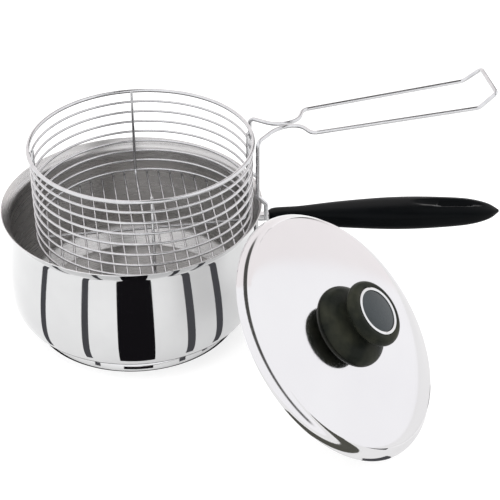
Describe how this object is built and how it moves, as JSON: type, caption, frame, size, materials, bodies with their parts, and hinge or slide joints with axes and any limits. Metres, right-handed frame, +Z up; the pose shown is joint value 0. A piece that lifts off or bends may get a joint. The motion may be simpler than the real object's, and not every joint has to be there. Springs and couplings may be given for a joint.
{
  "type": "chip pan deep fryer",
  "caption": "Round steel stovetop chip pan with a black handle, a wire frying basket hooked on its lip to drain, and a knobbed lid leaning beside it.",
  "frame": {"origin": "centre of the pan's underside, on the surface that it stands on", "axes": "+Z up, +X out along the pan's handle"},
  "size_m": [0.4055, 0.3392, 0.1937],
  "materials": {
    "polished_steel": "mirror-polished stainless steel sheet",
    "wire": "bright plated steel wire, welded",
    "aluminium_core": "plain rolled aluminium",
    "fixings": "zinc-plated steel",
    "phenolic": "black moulded phenolic, satin gloss",
    "knob_inlay": "dark blue-grey glossy inlay"
  },
  "bodies": {
    "pan": {"pan_body": "polished_steel", "base_core": "aluminium_core", "base_cap": "polished_steel", "handle_bracket": "polished_steel", "pan_handle": "phenolic", "handle_screw": "fixings"},
    "basket": {"basket_rim": "wire", "basket_side_ring_1": "wire", "basket_side_ring_2": "wire", "basket_side_ring_3": "wire", "basket_side_ring_4": "wire", "basket_side_ring_5": "wire", "basket_side_ring_6": "wire", "basket_side_ring_7": "wire", "basket_floor_ring": "wire", "basket_frame_wire_1": "wire", "basket_frame_wire_2": "wire", "basket_floor_wire_01": "wire", "basket_floor_wire_02": "wire", "basket_floor_wire_03": "wire", "basket_floor_wire_04": "wire", "basket_floor_wire_05": "wire", "basket_floor_wire_06": "wire", "basket_floor_wire_07": "wire", "basket_floor_wire_08": "wire", "basket_floor_wire_09": "wire", "basket_floor_wire_10": "wire", "basket_floor_wire_11": "wire", "basket_floor_wire_12": "wire", "basket_floor_wire_13": "wire", "basket_floor_wire_14": "wire", "basket_floor_wire_15": "wire", "basket_floor_wire_16": "wire", "basket_handle": "wire"},
    "lid": {"lid_shell": "polished_steel", "lid_knob": "phenolic", "knob_ring": "polished_steel", "knob_cap": "knob_inlay", "lid_washer": "fixings", "lid_screw": "fixings"}
  },
  "joints": [
    {"name": "basket_lift", "type": "slide", "parent": "pan", "child": "basket", "axis": [0, 0, 1], "range_m": [0, 0.15]},
    {"name": "lid_lift", "type": "slide", "parent": "pan", "child": "lid", "axis": [0.6492, -0.3041, 0.6972], "range_m": [0, 0.15]}
  ]
}
